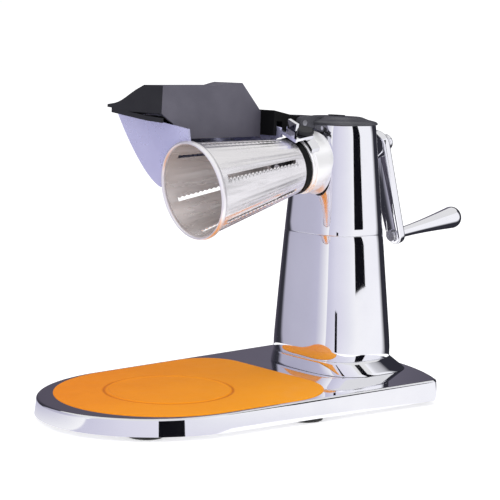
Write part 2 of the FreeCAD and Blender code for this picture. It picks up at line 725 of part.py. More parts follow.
DOME = [(0.0, 1.0), (1.4, 1.2), (3.4, -2.2), (5.4, -8.5), (7.0, -16.0), (8.0, -24.0)]
dome = loft([cap_layer(head_top + 0.02 + rise, grow) for rise, grow in DOME])
pivot_x, pivot_z = size["pivot_x"], size["pivot_z"]
near, far = size["arm_near"], size["arm_far"]
lug = 6.0
tongue_points = [(pivot_x - 6.0, pivot_z + 1.0), (pivot_x - 4.4, pivot_z + 4.2), (pivot_x, pivot_z + 6.0),
                 (column_x - 12, head_top + 6.4), (column_x - 12, head_top + 0.04), (column_x - 24, head_top - 2.8),
                 (pivot_x + 8, pivot_z - 4.6), (pivot_x, pivot_z - 5.2), (pivot_x - 4.6, pivot_z - 3.6)]
wire = Part.makePolygon([Vec(x, near - lug, z) for x, z in tongue_points + tongue_points[:1]])
tongue = Part.Face(wire).extrude(Vec(0, far - near + 2 * lug, 0))
tongue = tongue.cut(column_outside)
gap_box = Part.makeBox(30, far - near + 1.0, 60, Vec(pivot_x - 20, near - 0.5, pivot_z - 30))
tongue = tongue.cut(gap_box)
cap_shape = dome.fuse(tongue)
pin_start = Vec(pivot_x, near - 20, pivot_z)
cap_shape = cap_shape.cut(Part.makeCylinder(size["pivot_pin"] + 0.02, 60, pin_start, Vec(0, 1, 0)))
for x, y in cap_spots:
    cap_shape = cap_shape.cut(Part.makeCylinder(size["screw_radius"] + 0.02, 4.6, Vec(x, y, head_top - 0.1)))
cap_shape = max(cap_shape.Solids, key=lambda s: s.Volume)
node("top_cap", shaped("top_cap", cap_shape))
cap_screw_shapes = []
for i, (x, y) in enumerate(cap_spots):
    screw = lathe("cap_screw_%d" % i, [
        ("0", "0"),
        ("3.6", "0"),
        ("3.6", "2.2"),
        ("screw_radius", "2.2"),
        ("screw_radius", "9.2"),
        ("0", "9.2")], upright(x, y, plate_low - 2.2))
    cap_screw_shapes.append(screw.Shape)
node("cap_screws", shaped("cap_screws", Part.makeCompound(cap_screw_shapes)))
node("pivot_pin", lathe("pivot_pin", [
    ("0", "0"),
    ("pivot_pin", "0"),
    ("pivot_pin", "arm_far - arm_near + 12"),
    ("0", "arm_far - arm_near + 12")],
    FreeCAD.Placement(Vec(pivot_x, near - lug, pivot_z), Rot(Vec(1, 0, 0), -90))))


# Pusher
def slab(points, axis, start, length):
    """Prism of a polygon given in the plane across one axis."""
    if axis == "y":
        loop = [Vec(u, start, v) for u, v in points]
        along = Vec(0, length, 0)
    else:
        loop = [Vec(start, u, v) for u, v in points]
        along = Vec(length, 0, 0)
    return Part.Face(Part.makePolygon(loop + loop[:1])).extrude(along)


hood_near, hood_far, skin_t = size["hood_near"], size["hood_far"], size["hood_wall"]
front_x, rear_x = MOUTH.x - 16.5, -6.0
side_view = [(front_x, 244.0), (front_x + 0.9, 266.8), (-50.0, 267.6), (-46.0, 270.4), (-27.0, 270.0),
             (rear_x - 2, 248.5), (rear_x, 246.0), (rear_x, 224.4), (-82.8, 223.2), (-84.0, 232.2), (-96.0, 233.4)]
crown = [(hood_near, 222.0), (hood_near, 271.0), (34.0, 271.0), (40.0, 269.6), (46.0, 267.6), (50.0, 266.2),
         (54.3, 264.6), (59.9, 262.5), (67.1, 259.2), (74.3, 255.7), (80.1, 253.2), (84.5, 251.7), (89.0, 250.6),
         (93.4, 250.0), (hood_far + 3.5, 249.0), (hood_far + 3.5, 246.6), (hood_far - 3, 246.2),
         (43.6, 241.4), (42.0, 237.4), (30.0, 234.0), (30.0, 222.0)]
hood_outer = slab(side_view, "y", hood_near, hood_far + 4 - hood_near).common(slab(crown, "x", front_x - 1, 110))
inner_crown = [(hood_near + skin_t, 215.0), (hood_near + skin_t, 267.9), (36.4, 267.6), (42.0, 265.8), (47.0, 264.2),
               (53.0, 262.1), (59.0, 259.9), (67.0, 256.3), (73.0, 253.2), (80.0, 250.2), (85.0, 248.7),
               (hood_far - 4, 247.4), (hood_far - 4, 240.0), (50.0, 232.0), (50.0, 215.0)]
inner_side = [(front_x + 2.5, 200.0), (front_x + 3.0, 264.2), (-50.0, 265.0), (-46.0, 267.8), (-28.5, 267.4),
              (rear_x - 5.2, 246.8), (rear_x - 2.6, 245.0), (rear_x - 2.6, 200.0)]
hood_inner = slab(inner_side, "y", hood_near + skin_t, 90).common(slab(inner_crown, "x", front_x, 110))
hood = hood_outer.cut(hood_inner)
hood = max(hood.Solids, key=lambda s: s.Volume)
arm_side = [(rear_x - 0.02, 226.0), (rear_x - 0.02, 247.6), (pivot_x - 4, pivot_z + 5.4), (pivot_x, pivot_z + 5.6),
            (pivot_x, pivot_z - 5.6), (14.0, 231.0), (3.4, 228.5), (3.4, 238.2), (-3.2, 238.2), (-3.2, 226.0)]
arm = slab(arm_side, "y", near, far - near)
arm = arm.fuse(Part.makeCylinder(5.6, far - near, Vec(pivot_x, near, pivot_z), Vec(0, 1, 0)))
hood = hood.fuse(arm).removeSplitter()
hood = hood.cut(Part.makeCylinder(size["pivot_pin"] + size["running_gap"], 60, pin_start, Vec(0, 1, 0)))
node("pusher_hood", shaped("pusher_hood", hood))

press_points = [(hood_near + skin_t + 1.2, 225.4), (56.0, 225.4), (80.0, 243.4), (80.0, 246.4),
                (hood_near + skin_t + 1.2, 246.4)]
press_start = MOUTH.x + 4.0
press = slab(press_points, "x", press_start, -13.0 - press_start)
for x in (-75.0, -36.0):
    press = press.fuse(Part.makeCylinder(4.5, 18.15, Vec(x, 33.0, 246.4)))
for i in range(7):
    groove = Part.makeBox(4.0, 80.0, 3.2, Vec(-86.0 + 11.0 * i, hood_near, 224.0))
    press = press.cut(groove)
node("pusher_block", shaped("pusher_block", press))

# Hopper
front_curve = [(49.5, 181.5), (60.5, 187.5), (70.5, 196.8), (80.5, 209.4), (89.0, 222.5), (95.2, 234.0), (99.7, 244.0)]
rear_curve = [(30.5, 200.5), (42.0, 203.5), (55.0, 211.0), (67.5, 220.0), (79.0, 229.0), (89.5, 237.5), (98.0, 245.0)]
hop_front, hop_rear = 3.2, size["drum_length"] - 1.5
thin = size["hopper_sheet"]


def section_wire(points, along, inset, near_edge, top_near):
    """Closed hopper section across the shaft axis, in the tilted frame."""
    frame = on_axis(along)
    centre_z = frame.Base.z
    loop = []
    for y, z in points:
        loop.append(Vec(-(z - centre_z) / math.cos(tilt), y - inset, 0))
    curve = Part.BSplineCurve()
    curve.interpolate(loop)
    first, last = loop[0], loop[-1]
    low = Vec(first.x, near_edge, 0)
    high = Vec(-(top_near - centre_z) / math.cos(tilt), near_edge, 0)
    edges = [curve.toShape(), Part.LineSegment(last, high).toShape(), Part.LineSegment(high, low).toShape(),
             Part.LineSegment(low, first).toShape()]
    wire = Part.Wire(edges)
    wire.Placement = frame
    return wire


outer_hopper = loft([section_wire(front_curve, hop_front, 0, 1.0, 232.5),
                     section_wire(rear_curve, hop_rear, 0, 1.0, 233.0)], True)
inner_hopper = loft([section_wire(front_curve, hop_front + thin, thin, -60.0, 233.5),
                     section_wire(rear_curve, hop_rear - thin, thin, -60.0, 234.0)], True)
hopper = outer_hopper.cut(inner_hopper)
clear = Part.makeCone(size["mouth_radius"] + size["hopper_gap"], size["narrow_radius"] + size["hopper_gap"], drum_len)
clear.Placement = on_axis(0)
hopper = hopper.cut(clear)
saddle_in = size["collar_radius"] + 0.15
saddle_top = saddle_in + 4.2
saddle_at = collar_at + 0.6
hub_at = size["drum_length"]
saddle_long = 9.0
ear_turn = Rot(Vec(0, 0, 1), 22)


def beside(along):
    """Frame on the shaft axis turned to the lock knob, local -X pointing out."""
    return on_axis(along).multiply(FreeCAD.Placement(Vec(0, 0, 0), ear_turn))


saddle = Part.makeCylinder(saddle_in + 2.6, saddle_long).cut(Part.makeCylinder(saddle_in, saddle_long))
saddle = saddle.common(Part.makeBox(60, 34, saddle_long, Vec(-60, -17, 0)))
saddle.Placement = beside(saddle_at)
stem = Part.makeBox(9.0, 15.0, saddle_long, Vec(-saddle_top, -7.5, 0))
stem = stem.cut(Part.makeCylinder(saddle_in + 1.5, saddle_long))
stem.Placement = beside(saddle_at)
bridge = Part.makeBox(2.4, 15.0, saddle_at + saddle_long - hop_rear + thin, Vec(-saddle_top, -7.5, 0))
bridge.Placement = beside(hop_rear - thin)
ear = Part.makeBox(saddle_top - 27.2, 24.0, thin, Vec(-saddle_top, -7.5, 0))
ear.Placement = beside(hop_rear - thin)
post = Part.makeBox(saddle_top + 10.5 - 27.8, 11.0, 3.0, Vec(-saddle_top - 10.5, -1.0, 0))
post.Placement = beside(hub_at + 0.5)
hopper = hopper.fuse([ear, bridge, stem, saddle, post]).removeSplitter()
hopper = max(hopper.Solids, key=lambda s: s.Volume)
knob_frame = beside(saddle_at + 4.5).multiply(FreeCAD.Placement(Vec(-saddle_top, 0, 0), Rot(Vec(0, 1, 0), -90)))
stud_hole = Part.makeCylinder(size["screw_radius"] + 0.04, 30, Vec(0, 0, -20))
stud_hole.Placement = knob_frame
node("hopper_body", shaped("hopper_body", hopper.cut(stud_hole)))
node("lock_knob", lathe("lock_knob", [
    ("0", "0"),
    ("screw_radius", "0"),
    ("screw_radius", "4.1"),
    ("knob_radius - 0.8", "4.1"),
    ("knob_radius", "4.8"),
    ("knob_radius", "6.6"),
    ("knob_radius - 1.2", "7.6"),
    ("0", "7.6")], knob_frame.multiply(upright(0, 0, -4.0))))

centre = FreeCAD.Placement(Vec(size["centre_shift"], 0, 0), Rot())
for piece in nodes:
    piece.Placement = centre.multiply(piece.Placement)
doc.recompute()
faulty = [o.Name for o in doc.Objects if "Invalid" in o.State or "Error" in o.State]
if faulty:
    raise RuntimeError("failed objects: %s" % faulty)
for piece in nodes:
    if piece.Shape.isNull() or not piece.Shape.isValid():
        raise RuntimeError("bad shape: %s" % piece.Label)
for piece in nodes:
    piece.Shape.exportStep("parts/%s.step" % piece.Label)
print("nodes", len(nodes))
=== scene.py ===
import json
import math

import bmesh
import bpy
import numpy as np
from mathutils import Matrix


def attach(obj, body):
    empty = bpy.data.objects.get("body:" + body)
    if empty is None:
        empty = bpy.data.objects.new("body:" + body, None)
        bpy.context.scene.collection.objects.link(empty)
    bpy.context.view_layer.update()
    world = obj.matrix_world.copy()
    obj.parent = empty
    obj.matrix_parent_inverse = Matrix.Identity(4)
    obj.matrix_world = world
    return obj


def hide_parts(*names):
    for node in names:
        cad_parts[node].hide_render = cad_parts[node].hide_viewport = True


# lengths are in metres, and angles in the dictionaries in degrees
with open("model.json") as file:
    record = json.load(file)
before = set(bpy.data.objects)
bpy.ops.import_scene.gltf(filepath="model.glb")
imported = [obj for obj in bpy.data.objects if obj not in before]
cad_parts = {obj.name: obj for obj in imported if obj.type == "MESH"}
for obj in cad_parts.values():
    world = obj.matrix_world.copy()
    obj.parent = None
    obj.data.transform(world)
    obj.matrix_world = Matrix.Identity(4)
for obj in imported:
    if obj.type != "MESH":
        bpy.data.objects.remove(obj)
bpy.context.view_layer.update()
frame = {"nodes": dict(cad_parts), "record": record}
nodes = frame["nodes"]
bodyOf = {n: b for b, names in frame["record"]["behaviour"]["bodies"].items() for n in names}
print("stage: frame loaded,", len(nodes), "nodes")

# where the shaft line runs
shaftLine = {
    "mouth": (-0.0919, 0.0, 0.182),  # middle of the drum's mouth
    "tilt": 9.6,                     # rising to the crank
    "drumLength": 0.104,
}
tilt = math.radians(shaftLine["tilt"])
mouthPoint = np.array(shaftLine["mouth"])
shaftDir = np.array([math.cos(tilt), 0.0, math.sin(tilt)])
shaftDown = np.array([math.sin(tilt), 0.0, -math.cos(tilt)])
shaftSide = np.array([0.0, 1.0, 0.0])

# what a finish has when it says nothing else
plainFinish = dict(metal=0.0, specular=0.5, stretch=(1.0, 1.0, 1.0), turn=(0.0, 0.0, 0.0),
                   mottleScale=30.0, mottleDetail=4.0, mottleRange=(0.35, 0.68),
                   smearScale=60.0, smearDetail=6.0, smearRange=(0.3, 0.75),
                   grain=0.0, grainScale=900.0, grainDetail=3.0, grainDepth=0.0002)


def addNode(tree, kind, values):
    # a shader node with the given numbers set on its own sockets
    node = tree.nodes.new(kind)
    for socket, value in values.items():
        node.inputs[socket].default_value = value
    return node


def makeMaterial(name, finish):
    # colour = slow noise between two colours, roughness = finer noise between two values, bump = fine grain
    look = {**plainFinish, **finish}
    made = bpy.data.materials.new(name)
    made.use_nodes = True
    tree = made.node_tree
    shader = tree.nodes["Principled BSDF"]
    shader.inputs["Metallic"].default_value = look["metal"]
    shader.inputs["Specular IOR Level"].default_value = look["specular"]
    place = tree.nodes.new("ShaderNodeTexCoord")
    stretch = addNode(tree, "ShaderNodeMapping", {"Scale": look["stretch"], "Rotation": look["turn"]})
    tree.links.new(place.outputs["Object"], stretch.inputs["Vector"])

    mottle = addNode(tree, "ShaderNodeTexNoise",
                     {"Scale": look["mottleScale"], "Detail": look["mottleDetail"]})
    tree.links.new(stretch.outputs["Vector"], mottle.inputs["Vector"])
    colour = tree.nodes.new("ShaderNodeValToRGB")
    for stop, position, tone in zip(colour.color_ramp.elements, look["mottleRange"],
                                    (look["colour"], look["colour2"])):
        stop.position = position
        stop.color = (*tone, 1.0)
    tree.links.new(mottle.outputs["Fac"], colour.inputs["Fac"])
    tree.links.new(colour.outputs["Color"], shader.inputs["Base Color"])

    smear = addNode(tree, "ShaderNodeTexNoise", {"Scale": look["smearScale"], "Detail": look["smearDetail"]})
    tree.links.new(stretch.outputs["Vector"], smear.inputs["Vector"])
    gloss = addNode(tree, "ShaderNodeMapRange", {
        "From Min": look["smearRange"][0], "From Max": look["smearRange"][1],
        "To Min": look["rough"][0], "To Max": look["rough"][1]})
    tree.links.new(smear.outputs["Fac"], gloss.inputs["Value"])
    tree.links.new(gloss.outputs["Result"], shader.inputs["Roughness"])

    if look["grain"] > 0:
        grain = addNode(tree, "ShaderNodeTexNoise",
                        {"Scale": look["grainScale"], "Detail": look["grainDetail"]})
        tree.links.new(stretch.outputs["Vector"], grain.inputs["Vector"])
        bump = addNode(tree, "ShaderNodeBump", {"Strength": look["grain"], "Distance": look["grainDepth"]})
        tree.links.new(grain.outputs["Fac"], bump.inputs["Height"])
        tree.links.new(bump.outputs["Normal"], shader.inputs["Normal"])
    return made


finishes = {
    "chrome": dict(metal=1.0, colour=(0.88, 0.88, 0.92), colour2=(0.93, 0.93, 0.96), rough=(0.025, 0.06),
                   mottleScale=22.0, smearScale=38.0),
    "drumSteel": dict(metal=0.9, colour=(0.87, 0.85, 0.87), colour2=(0.99, 0.97, 0.98), rough=(0.20, 0.30),
                      mottleScale=12.0, stretch=(0.5, 6.0, 6.0), turn=(0.0, -tilt, 0.0), smearScale=40.0,
                      grain=0.08, grainScale=260.0),
    "drumInside": dict(metal=0.60, colour=(0.58, 0.53, 0.51), colour2=(1.0, 0.98, 0.98), rough=(0.20, 0.32),
                       mottleScale=8.0, stretch=(0.3, 4.5, 4.5), turn=(0.0, -tilt, 0.0), smearScale=30.0,
                       grain=0.08, grainScale=260.0),
    "rimSteel": dict(metal=0.9, colour=(0.93, 0.90, 0.92), colour2=(0.98, 0.96, 0.98), rough=(0.30, 0.40),
                     smearScale=40.0),
    "collarSatin": dict(metal=0.55, colour=(0.95, 0.95, 0.96), colour2=(0.99, 0.99, 0.99), rough=(0.30, 0.40),
                        smearScale=40.0),
    # painted reflection: the hopper sheet's lavender colour stands in for the lavender surroundings that its
    # metal mirrors
    "hopperSatinPaintedReflection": dict(metal=0.5, colour=(0.50, 0.50, 0.74), colour2=(0.60, 0.60, 0.84), rough=(0.22, 0.32),
                        mottleScale=18.0, smearScale=50.0),
    # painted light: the hood's lit grey, a lighter copy of its black plastic; its shaded faces get hoodBlack
    "hoodLitGrey": dict(colour=(0.078, 0.074, 0.100), colour2=(0.094, 0.089, 0.118), rough=(0.42, 0.55),
                     mottleScale=60.0, grain=0.25, grainScale=1400.0, grainDepth=0.0001),
    "hoodBlack": dict(colour=(0.007, 0.007, 0.009), colour2=(0.012, 0.012, 0.015), rough=(0.34, 0.46),
                      specular=0.35, mottleScale=60.0, grain=0.20, grainScale=1400.0, grainDepth=0.0001),
    "armBlack": dict(colour=(0.003, 0.003, 0.003), colour2=(0.005, 0.005, 0.006), rough=(0.45, 0.60),
                     specular=0.15, mottleScale=60.0, grain=0.20, grainScale=1400.0, grainDepth=0.0001),
    "capGrey": dict(colour=(0.046, 0.046, 0.056), colour2=(0.062, 0.062, 0.074), rough=(0.28, 0.40),
                    mottleScale=60.0, grain=0.20, grainScale=1300.0, grainDepth=0.0001),
    "gripRubber": dict(colour=(0.012, 0.012, 0.012), colour2=(0.020, 0.020, 0.020), rough=(0.55, 0.75),
                       mottleScale=80.0, grain=0.4),
    "steel": dict(metal=1.0, colour=(0.50, 0.50, 0.52), colour2=(0.60, 0.60, 0.61), rough=(0.20, 0.34),
                  mottleScale=80.0, grain=0.08, grainScale=500.0),
    "bronze": dict(metal=1.0, colour=(0.50, 0.32, 0.13), colour2=(0.62, 0.42, 0.19), rough=(0.24, 0.42),
                   mottleScale=120.0, grain=0.15),
    "castAlloy": dict(metal=1.0, colour=(0.42, 0.42, 0.44), colour2=(0.55, 0.55, 0.57), rough=(0.40, 0.58),
                      mottleScale=90.0, grain=0.5, grainScale=700.0),
}
material = {name: makeMaterial(name, finish) for name, finish in finishes.items()}

# orange rubber of the bowl mat
matRubber = {
    "finish": dict(colour=(0.76, 0.215, 0.002), colour2=(0.80, 0.240, 0.003), rough=(0.45, 0.58),
                   specular=0.10, mottleScale=26.0, grain=0.35, grainScale=800.0),
    # painted light: the mat's brighter, yellower side
    "litSideColour": (0.86, 0.36, 0.005),   # yellower orange on one side
    "sweepTurn": 55.0, "sweepShift": 0.5, "sweepScale": 3.4,
    # painted shade: darker orange in the pressed groove
    "grooveShadeColour": (0.56, 0.145, 0.003),
}


def addTint(tree, colour, share, under):
    # colour = under * (1 - share) + tint * share
    mixer = tree.nodes.new("ShaderNodeMix")
    mixer.data_type = "RGBA"
    mixer.inputs["B"].default_value = (*colour, 1.0)
    tree.links.new(share, mixer.inputs["Factor"])
    tree.links.new(under, mixer.inputs["A"])
    return mixer.outputs["Result"]


def makeMatMaterial():
    # painted light: brighter and yellower along a slanting line across the mat; painted shade: darker where
    # the grooveShade attribute is high
    made = makeMaterial("matOrange", matRubber["finish"])
    tree = made.node_tree
    lean = addNode(tree, "ShaderNodeMapping", {
        "Rotation": (0.0, 0.0, math.radians(matRubber["sweepTurn"])),
        "Location": (matRubber["sweepShift"], 0.0, 0.0), "Scale": (matRubber["sweepScale"],) * 3})
    sweep = tree.nodes.new("ShaderNodeSeparateXYZ")
    tree.links.new(tree.nodes["Texture Coordinate"].outputs["Object"], lean.inputs["Vector"])
    tree.links.new(lean.outputs["Vector"], sweep.inputs["Vector"])
    groove = tree.nodes.new("ShaderNodeAttribute")
    groove.attribute_name = "grooveShade"
    mottled = tree.nodes["Color Ramp"].outputs["Color"]
    litSide = addTint(tree, matRubber["litSideColour"], sweep.outputs["X"], mottled)
    shaded = addTint(tree, matRubber["grooveShadeColour"], groove.outputs["Fac"], litSide)
    tree.links.new(shaded, tree.nodes["Principled BSDF"].inputs["Base Color"])
    return made


material["matOrange"] = makeMatMaterial()
print("stage: materials made,", len(material))


def addPiece(name, points, faces, body, finish, smoothAngle=40.0):
    # mesh from rows of points and quads, smooth except at edges sharper than smoothAngle
    mesh = bpy.data.meshes.new(name)
    mesh.from_pydata(points.tolist(), [], faces.tolist())
    mesh.update()
    piece = bpy.data.objects.new(name, mesh)
    bpy.context.scene.collection.objects.link(piece)
    mesh.materials.append(material[finish])
    mesh.shade_smooth()
    mesh.set_sharp_from_angle(angle=math.radians(smoothAngle))
    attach(piece, body)
    return piece


def gridFaces(rows, columns, closedRows=False, closedColumns=False):
    # quad corners of a rows x columns grid of points, wrapped round where closed
    i = np.arange(rows if closedRows else rows - 1)
    j = np.arange(columns if closedColumns else columns - 1)
    ii, jj = np.meshgrid(i, j, indexing="ij")
    i1, j1 = (ii + 1) % rows, (jj + 1) % columns
    quads = np.stack([ii * columns + jj, ii * columns + j1, i1 * columns + j1, i1 * columns + jj], axis=-1)
    return quads.reshape(-1, 4)


def closeUp(piece):
    # merges doubled points, drops empty faces and turns the faces outwards
    work = bmesh.new()
    work.from_mesh(piece.data)
    bmesh.ops.remove_doubles(work, verts=work.verts, dist=1e-6)
    bmesh.ops.dissolve_degenerate(work, edges=work.edges, dist=1e-7)
    bmesh.ops.recalc_face_normals(work, faces=work.faces)
    work.to_mesh(piece.data)
    work.free()
    piece.data.update()


def turnedPiece(name, profile, start, axis, body, finish, around=96, smoothAngle=40.0):
    # point = start + axis * along + radius * (cos a * u + sin a * v);
    # the profile's rows are (radius, along) and it closes on itself
    u = np.cross(axis, (0.0, 1.0, 0.0))
    u /= np.linalg.norm(u)
    v = np.cross(axis, u)
    angle = np.linspace(0, 2 * np.pi, around, endpoint=False)
    spoke = np.cos(angle)[:, None] * u + np.sin(angle)[:, None] * v
    points = np.array(start) + profile[:, None, 1:2] * axis + profile[:, None, 0:1] * spoke[None]
    faces = gridFaces(len(profile), around, closedRows=True, closedColumns=True)[:, ::-1]
    piece = addPiece(name, points.reshape(-1, 3), faces, body, finish, smoothAngle)
    closeUp(piece)
    return piece


def ringStack(name, rings, body, finish, smoothAngle=40.0):
    # closed skin through rings of points, the last ring joined back to the first
    rings = np.asarray(rings)
    faces = gridFaces(len(rings), rings.shape[1], closedRows=True, closedColumns=True)
    piece = addPiece(name, rings.reshape(-1, 3), faces, body, finish, smoothAngle)
    closeUp(piece)
    return piece


def quarter(steps):
    # even angles over a quarter turn
    return np.linspace(0, np.pi / 2, steps)


# drum with toothed slots
drum = {
    "mouthRadius": 0.0398, "narrowRadius": 0.0242, "sheet": 0.0010,
    "start": 0.0006,         # where the sheet begins inside the rolled rim
    "slots": 6, "slotTurn": 11.0,        # turned from straight down
    "slotHalf": 0.0019,      # half width of a slot
    "slotLength": 0.084,
    "toothPitch": 0.0044, "toothDepth": 0.0011,
    "toothLift": 0.0004,     # how far the cutting edge stands out
    "liftWidth": 0.0022, "liftLeast": 0.35,
    "fluteDepth": 0.00012, "fluteCount": 42,
    "rows": 190, "halfColumns": 22, "crowding": 1.35,    # points crowd towards the slots
    "rimOut": 0.0002, "rimAt": 0.0012, "rimHalf": 0.0015, "rimReach": 0.0027,
    "endBore": 0.0061, "endThick": 0.001, "endGap": 0.0003, "endEdge": 0.0006,
}


def makeDrumShell():
    # radius falls evenly from the mouth to the narrow end, plus a lift beside each slot and faint flutes;
    # each slot's one edge is a straight line and the other a zigzag of teeth
    length, count = shaftLine["drumLength"], drum["slots"]
    rows, half = drum["rows"], drum["halfColumns"]
    along = np.linspace(drum["start"], length, rows)
    radius = drum["mouthRadius"] + (drum["narrowRadius"] - drum["mouthRadius"]) * along / length
    inSlot = (along > (length - drum["slotLength"]) / 2) & (along < (length + drum["slotLength"]) / 2)
    wave = np.abs(((along / drum["toothPitch"]) % 1.0) * 2 - 1) * inSlot
    slotAngle = (drum["slotHalf"] / radius)[:, None]
    toothAngle = (drum["toothDepth"] * wave / radius)[:, None]
    share = np.linspace(0, 1, half) ** drum["crowding"]
    outer = slotAngle + (np.pi / count - slotAngle) * share
    inner = np.linspace(-1, 1, 5)[None, 1:-1] * slotAngle
    sector = np.concatenate([-outer[:, ::-1], inner, slotAngle - toothAngle, outer[:, 1:-1]], axis=1)
    turn = math.radians(drum["slotTurn"]) + 2 * np.pi * np.arange(count) / count
    angle = (sector[:, None, :] + turn[None, :, None]).reshape(rows, -1)

    beside = np.abs(sector) * radius[:, None] - drum["slotHalf"]
    lift = drum["toothLift"] * np.exp(-(beside / drum["liftWidth"]) ** 2) * (sector > 0) * inSlot[:, None]
    lift = np.tile(lift * (drum["liftLeast"] + (1 - drum["liftLeast"]) * wave[:, None]), (1, count))
    fade = np.sin(np.pi * (along / length)) ** 0.5
    flute = drum["fluteDepth"] * np.cos(drum["fluteCount"] * angle) * fade[:, None]
    reach = (radius[:, None] + lift + flute)[..., None]
    spoke = np.cos(angle)[..., None] * shaftDown + np.sin(angle)[..., None] * shaftSide
    points = mouthPoint + along[:, None, None] * shaftDir + reach * spoke

    columns = angle.shape[1]
    faces = gridFaces(rows, columns, closedColumns=True)
    row, column = np.divmod(np.arange(len(faces)), columns)
    local = column % sector.shape[1]
    isOpen = inSlot[row] & inSlot[np.minimum(row + 1, rows - 1)] & (local >= half - 1) & (local < half + 3)
    piece = addPiece("drumShell", points.reshape(-1, 3), faces[~isOpen], "rotor", "drumSteel")
    closeUp(piece)
    piece.data.materials.append(material["drumInside"])
    wall = piece.modifiers.new("wall", "SOLIDIFY")
    wall.thickness = drum["sheet"]
    wall.offset = -1.0
    wall.material_offset = 1
    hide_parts("drum_cone")


def makeDrumEnds():
    # rolled rim = an oval bead round the mouth, end plate = a thin disc with a bore at the narrow end
    length, reach = shaftLine["drumLength"], drum["narrowRadius"] - drum["endGap"]
    bead = np.linspace(0, 2 * np.pi, 24, endpoint=False)
    rimProfile = np.column_stack([drum["mouthRadius"] + drum["rimOut"] + drum["rimHalf"] * np.cos(bead),
                                  drum["rimAt"] + drum["rimReach"] * np.sin(bead)])
    rim = turnedPiece("drumRim", rimProfile, mouthPoint, shaftDir, "rotor", "rimSteel", around=160)
    inside = length - drum["endThick"]
    endProfile = np.array([(drum["endBore"], inside), (drum["narrowRadius"] - drum["endThick"], inside),
                           (reach, length - drum["endEdge"]), (reach, length), (drum["endBore"], length)])
    end = turnedPiece("drumEndPlate", endProfile, mouthPoint, shaftDir, "rotor", "drumInside")


makeDrumShell()
makeDrumEnds()
print("stage: drum made")

# long base with a round nose
base = {
    "noseX": -0.1169,        # where the round nose meets the long sides
    "nose": 0.1075, "side": 0.2157, "halfFront": 0.0937, "halfRear": 0.1023, "corner": 0.008, "bow": 0.029,
    "topAtNose": 0.0187, "slope": 0.8,     # rising to the column
    "edge": 0.0022, "flare": 0.0029, "flareDrop": 0.0245, "bottom": 0.004, "skin": 0.003,
    "poleBack": 0.06, "pole": 0.002,       # the top's rings close in on a point behind noseX
    "topRings": (0.25, 0.5, 0.75, 0.9, 0.97, 0.99, 1.0),
    "sideRings": (0.04, 0.2, 0.4, 0.6, 0.8, 0.95, 0.985),
    "footRoll": 0.0004, "innerStep": 0.001,
}


def planLoop(plan):
    # nose ellipse, tangent long sides, rear corner arcs and a bowed or straight rear end, relative to noseX
    nose, half, along = plan["nose"], plan["halfFront"], plan["side"]
    bow = plan["bow"]
    grade = (plan["halfRear"] - half) / along
    theta = math.atan2(half, nose * grade)
    join = (-nose * math.cos(theta), half * math.sin(theta))
    grade = (plan["halfRear"] - join[1]) / (along - join[0])
    big = (plan["halfRear"] ** 2 + bow ** 2) / (2 * bow) if bow else 0.0
    centre = along + bow - big
    upper = math.pi / 2 + math.atan(grade)
    noseSteps, cornerSteps, endSteps, sideSteps = 121, 13, 41, 33

    def rearCorner(radius):
        # arc that touches the long side and the bowed end, and the angle where it leaves for the end
        lift = join[1] - grade * join[0] - radius * math.hypot(1, grade)
        middle, outward = along - radius, 0.0
        if bow:
            a, b = 1 + grade ** 2, 2 * (lift * grade - centre)
            c = centre ** 2 + lift ** 2 - (big - radius) ** 2
            middle = (-b + math.sqrt(b * b - 4 * a * c)) / (2 * a)
            outward = math.atan2(lift + grade * middle, middle - centre)
        turn = np.linspace(upper, outward, cornerSteps)
        x = middle + radius * np.cos(turn)
        return np.stack([x, lift + grade * middle + radius * np.sin(turn)], 1), outward

    t = np.linspace(math.pi - theta, math.pi + theta, noseSteps)
    front = np.stack([nose * np.cos(t), half * np.sin(t)], 1)
    high, outward = rearCorner(plan["corner"])
    low = rearCorner(plan.get("lowCorner", plan["corner"]))[0] * (1, -1)
    back = np.linspace(low[-1], high[-1], endSteps)[1:-1]
    if bow:
        a = np.linspace(-outward, outward, endSteps)[1:-1]
        back = np.stack([centre + big * np.cos(a), big * np.sin(a)], 1)
    sideLow = np.linspace(front[-1], low[0], sideSteps)[1:-1]
    sideHigh = np.linspace(high[0], front[0], sideSteps)[1:-1]
    return np.concatenate([front, sideLow, low, back, high[::-1], sideHigh]) + (plan["noseX"], 0.0)


def loopNormals(loop):
    # outward normal = the step between the two neighbours turned by a right angle
    step = np.roll(loop, -1, axis=0) - np.roll(loop, 1, axis=0)
    return np.stack([step[:, 1], -step[:, 0]], 1) / np.hypot(step[:, 0], step[:, 1])[:, None]


def topHeight(x):
    # height of the base's sloping top face
    return base["topAtNose"] + (x - base["noseX"]) * math.tan(math.radians(base["slope"]))


def makeBase():
    # rings of the plan: over the top, round the edge, down the flaring side, then back up inside
    loop = planLoop(base)
    out = loopNormals(loop)
    centre = np.array([base["noseX"] + base["poleBack"], 0.0])
    edge, skin, bottom = base["edge"], base["skin"], np.full(len(loop), base["bottom"])

    def ring(flat, drop):
        return np.column_stack([flat, topHeight(flat[:, 0]) - drop])

    lipIn = loop - edge * out
    rings = [ring(centre + share * (lipIn - centre), 0.0) for share in (base["pole"], *base["topRings"])]
    rings += [ring(loop + (math.sin(bend) - 1) * edge * out, edge * (1 - math.cos(bend)))
              for bend in quarter(8)[1:]]
    fullDrop = topHeight(loop[:, 0]) - base["bottom"] - edge
    stand = base["flare"] * fullDrop / base["flareDrop"]
    rings += [ring(loop + (share * stand)[:, None] * out, edge + share * fullDrop)
              for share in base["sideRings"]]
    rings.append(np.column_stack([loop + (stand - base["footRoll"])[:, None] * out, bottom]))
    rings.append(np.column_stack([loop + (stand - skin)[:, None] * out, bottom]))
    rings.append(ring(loop - skin * out, skin + base["innerStep"]))
    rings.append(ring(loop - (skin + base["innerStep"]) * out, skin))
    rings.append(ring(centre + base["pole"] * (lipIn - centre), skin))
    piece = ringStack("baseShell", rings, "stand", "chrome", 50.0)
    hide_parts("base_plate")


makeBase()
print("stage: base made")

